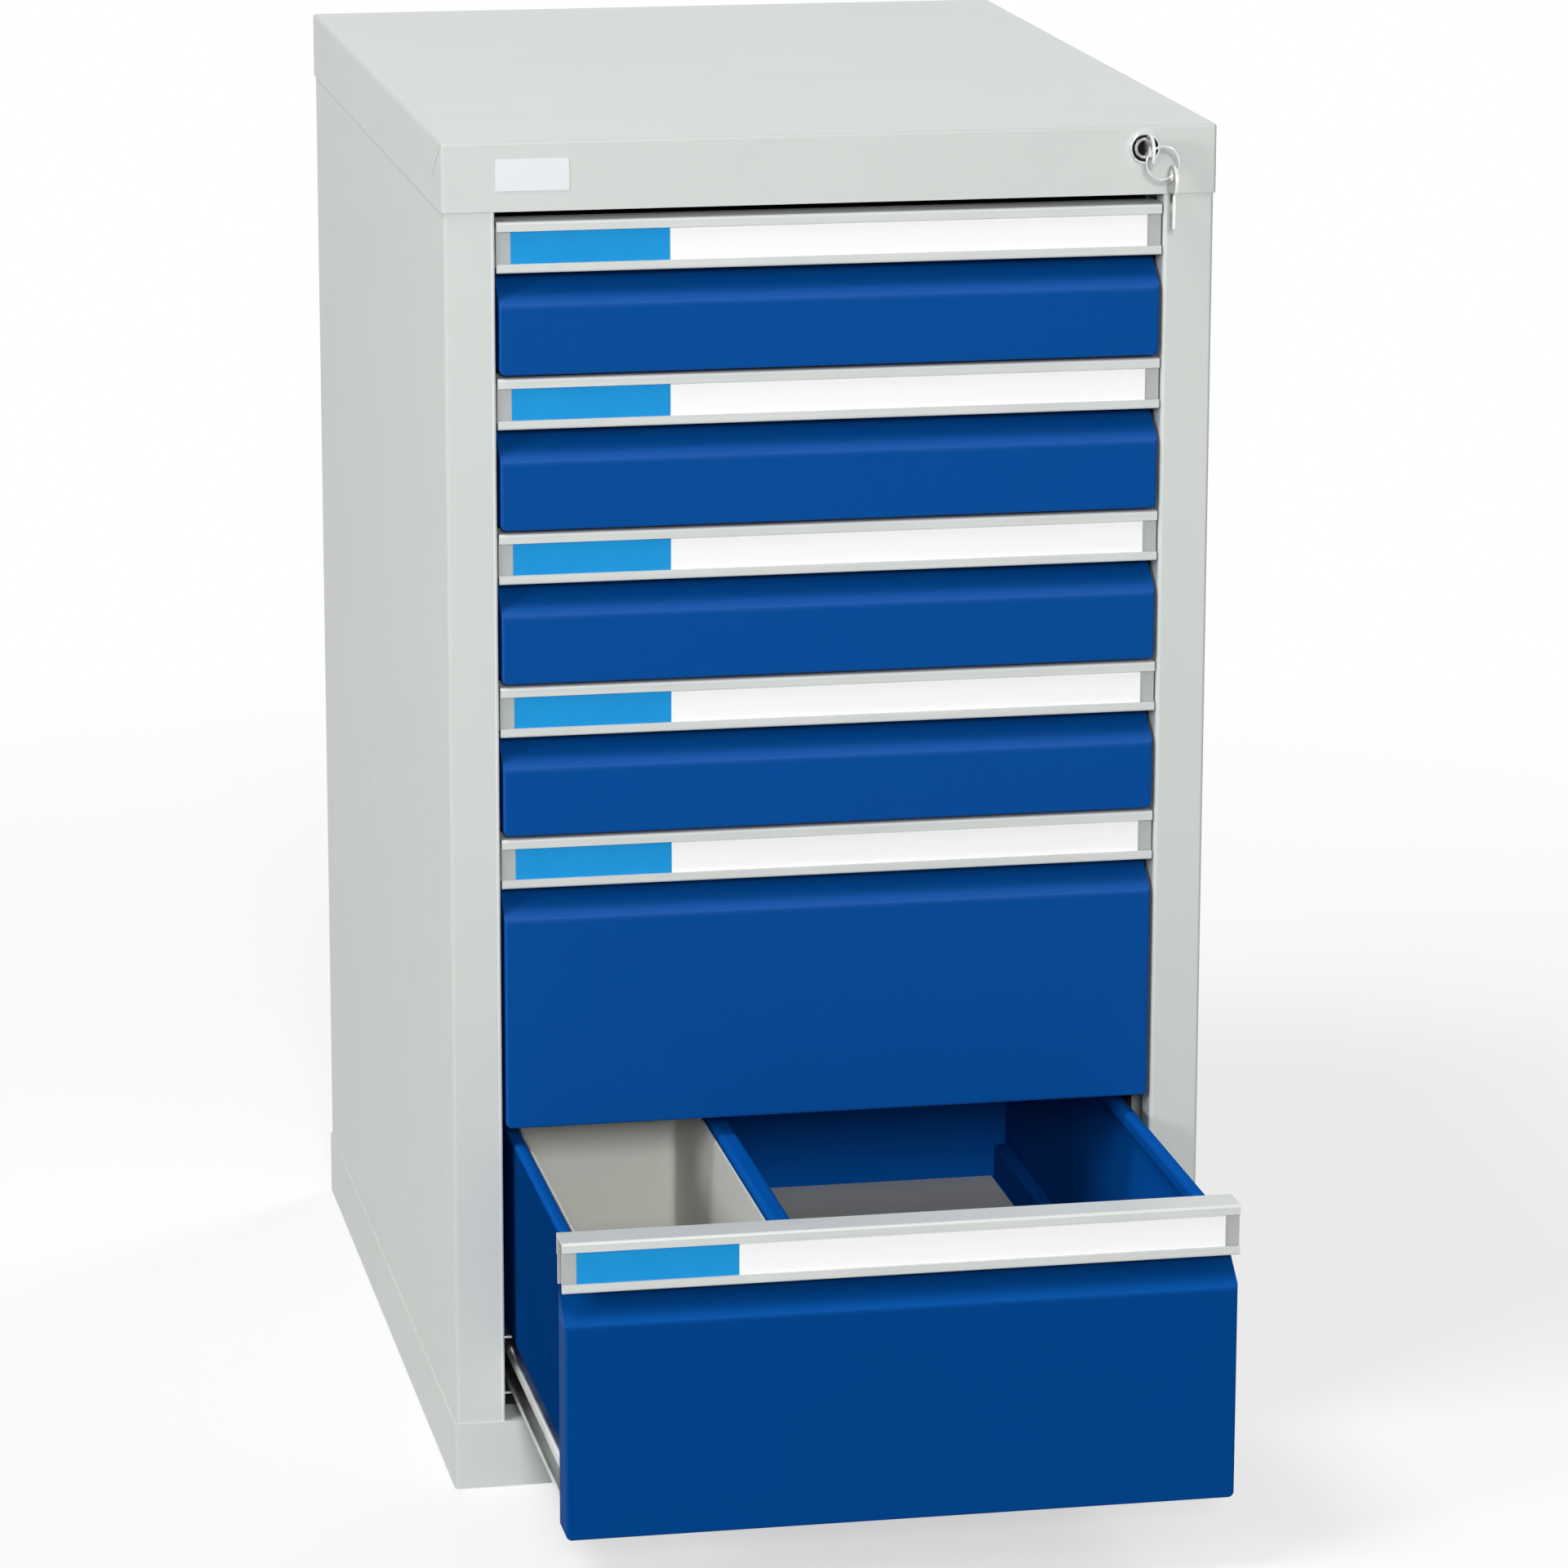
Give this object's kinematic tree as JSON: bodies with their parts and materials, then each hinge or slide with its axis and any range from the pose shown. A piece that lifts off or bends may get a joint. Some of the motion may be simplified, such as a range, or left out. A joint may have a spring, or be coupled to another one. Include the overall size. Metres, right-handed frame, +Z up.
{
  "type": "multi-drawer cabinet",
  "caption": "Floor-standing sheet-steel cabinet with stacked drawers on ball slides, label grips along each front, a plinth, and a key lock that lifts a locking bar.",
  "frame": {"origin": "centre of the plinth's underside on the floor", "axes": "+X to the right of someone facing the drawers, +Y to the back, +Z up; drawers open along -Y"},
  "size_m": [0.45, 0.815, 0.8],
  "materials": {
    "light_grey_paint": "satin powder coat",
    "blue_paint": "satin powder coat",
    "aluminium_grip": "anodised",
    "label_card": "printed card",
    "zinc": "zinc plated",
    "bearing_steel": "polished",
    "chrome": "polished",
    "nickel": "nickel plated",
    "white_plate": "plain film",
    "light_grey_tray": "satin",
    "grey_mat": "matt"
  },
  "bodies": {
    "cabinet": {"top_cover": "light_grey_paint", "left_side_panel": "light_grey_paint", "right_side_panel": "light_grey_paint", "back_panel": "light_grey_paint", "base_pan": "light_grey_paint", "left_runner_posts": "zinc", "right_runner_posts": "zinc", "left_cabinet_rails": "zinc", "right_cabinet_rails": "zinc", "back_screws": "zinc", "name_plate": "white_plate", "bar_guides": "zinc", "lock_housing": "chrome", "lock_nut": "zinc"},
    "drawer_1": {"drawer_1_box": "blue_paint", "drawer_1_front": "blue_paint", "drawer_1_grip": "aluminium_grip", "drawer_1_label": "label_card", "drawer_1_rails": "zinc"},
    "drawer_1_cages": {"drawer_1_ball_cages": "bearing_steel"},
    "drawer_2": {"drawer_2_box": "blue_paint", "drawer_2_front": "blue_paint", "drawer_2_grip": "aluminium_grip", "drawer_2_label": "label_card", "drawer_2_rails": "zinc"},
    "drawer_2_cages": {"drawer_2_ball_cages": "bearing_steel"},
    "drawer_3": {"drawer_3_box": "blue_paint", "drawer_3_front": "blue_paint", "drawer_3_grip": "aluminium_grip", "drawer_3_label": "label_card", "drawer_3_rails": "zinc"},
    "drawer_3_cages": {"drawer_3_ball_cages": "bearing_steel"},
    "drawer_4": {"drawer_4_box": "blue_paint", "drawer_4_front": "blue_paint", "drawer_4_grip": "aluminium_grip", "drawer_4_label": "label_card", "drawer_4_rails": "zinc"},
    "drawer_4_cages": {"drawer_4_ball_cages": "bearing_steel"},
    "drawer_5": {"drawer_5_box": "blue_paint", "drawer_5_front": "blue_paint", "drawer_5_grip": "aluminium_grip", "drawer_5_label": "label_card", "drawer_5_rails": "zinc"},
    "drawer_5_cages": {"drawer_5_ball_cages": "bearing_steel"},
    "drawer_6": {"drawer_6_box": "blue_paint", "drawer_6_front": "blue_paint", "drawer_6_grip": "aluminium_grip", "drawer_6_label": "label_card", "drawer_6_rails": "zinc", "drawer_6_divider": "blue_paint", "drawer_6_insert_tray": "light_grey_tray", "drawer_6_floor_mat": "grey_mat"},
    "drawer_6_cages": {"drawer_6_ball_cages": "bearing_steel"},
    "lock_core": {"lock_cylinder": "nickel", "lock_cam": "zinc", "cam_screw": "zinc", "key": "nickel"},
    "locking_bar": {"locking_bar": "zinc"},
    "key_ring": {"key_ring": "nickel"},
    "spare_key": {"spare_key": "nickel"}
  },
  "joints": [
    {"name": "drawer_1_slide", "type": "slide", "parent": "cabinet", "child": "drawer_1", "axis": [0, -1, 0], "range_m": [0, 0.375]},
    {"name": "drawer_1_cage_slide", "type": "slide", "parent": "cabinet", "child": "drawer_1_cages", "axis": [0, -1, 0], "range_m": [0, 0.1875]},
    {"name": "drawer_2_slide", "type": "slide", "parent": "cabinet", "child": "drawer_2", "axis": [0, -1, 0], "range_m": [0, 0.375]},
    {"name": "drawer_2_cage_slide", "type": "slide", "parent": "cabinet", "child": "drawer_2_cages", "axis": [0, -1, 0], "range_m": [0, 0.1875]},
    {"name": "drawer_3_slide", "type": "slide", "parent": "cabinet", "child": "drawer_3", "axis": [0, -1, 0], "range_m": [0, 0.375]},
    {"name": "drawer_3_cage_slide", "type": "slide", "parent": "cabinet", "child": "drawer_3_cages", "axis": [0, -1, 0], "range_m": [0, 0.1875]},
    {"name": "drawer_4_slide", "type": "slide", "parent": "cabinet", "child": "drawer_4", "axis": [0, -1, 0], "range_m": [0, 0.375]},
    {"name": "drawer_4_cage_slide", "type": "slide", "parent": "cabinet", "child": "drawer_4_cages", "axis": [0, -1, 0], "range_m": [0, 0.1875]},
    {"name": "drawer_5_slide", "type": "slide", "parent": "cabinet", "child": "drawer_5", "axis": [0, -1, 0], "range_m": [0, 0.375]},
    {"name": "drawer_5_cage_slide", "type": "slide", "parent": "cabinet", "child": "drawer_5_cages", "axis": [0, -1, 0], "range_m": [0, 0.1875]},
    {"name": "drawer_6_slide", "type": "slide", "parent": "cabinet", "child": "drawer_6", "axis": [0, -1, 0], "range_m": [-0.215, 0.16]},
    {"name": "drawer_6_cage_slide", "type": "slide", "parent": "cabinet", "child": "drawer_6_cages", "axis": [0, -1, 0], "range_m": [-0.1075, 0.08]},
    {"name": "key_turn", "type": "hinge", "parent": "cabinet", "child": "lock_core", "pos_m": [0.182, -0.3, 0.787], "axis": [0, -1, 0], "range_deg": [0, 90]},
    {"name": "locking_bar_lift", "type": "slide", "parent": "cabinet", "child": "locking_bar", "axis": [0, 0, 1], "range_m": [0, 0.0113]},
    {"name": "key_ring_swing", "type": "hinge", "parent": "cabinet", "child": "key_ring", "pos_m": [0.18872, -0.317, 0.787], "axis": [-1, 0, 0], "range_deg": [-8, 25]},
    {"name": "spare_key_swing", "type": "hinge", "parent": "key_ring", "child": "spare_key", "pos_m": [0.195, -0.317, 0.77315], "axis": [-1, 0, 0], "range_deg": [-8, 40]}
  ],
  "couplings": [
    {"joint": "drawer_1_cage_slide", "follows": "drawer_1_slide", "ratio": 0.5},
    {"joint": "drawer_2_cage_slide", "follows": "drawer_2_slide", "ratio": 0.5},
    {"joint": "drawer_3_cage_slide", "follows": "drawer_3_slide", "ratio": 0.5},
    {"joint": "drawer_4_cage_slide", "follows": "drawer_4_slide", "ratio": 0.5},
    {"joint": "drawer_5_cage_slide", "follows": "drawer_5_slide", "ratio": 0.5},
    {"joint": "drawer_6_cage_slide", "follows": "drawer_6_slide", "ratio": 0.5},
    {"joint": "key_turn", "follows": "locking_bar_lift", "rad_per_m": 138.84}
  ]
}
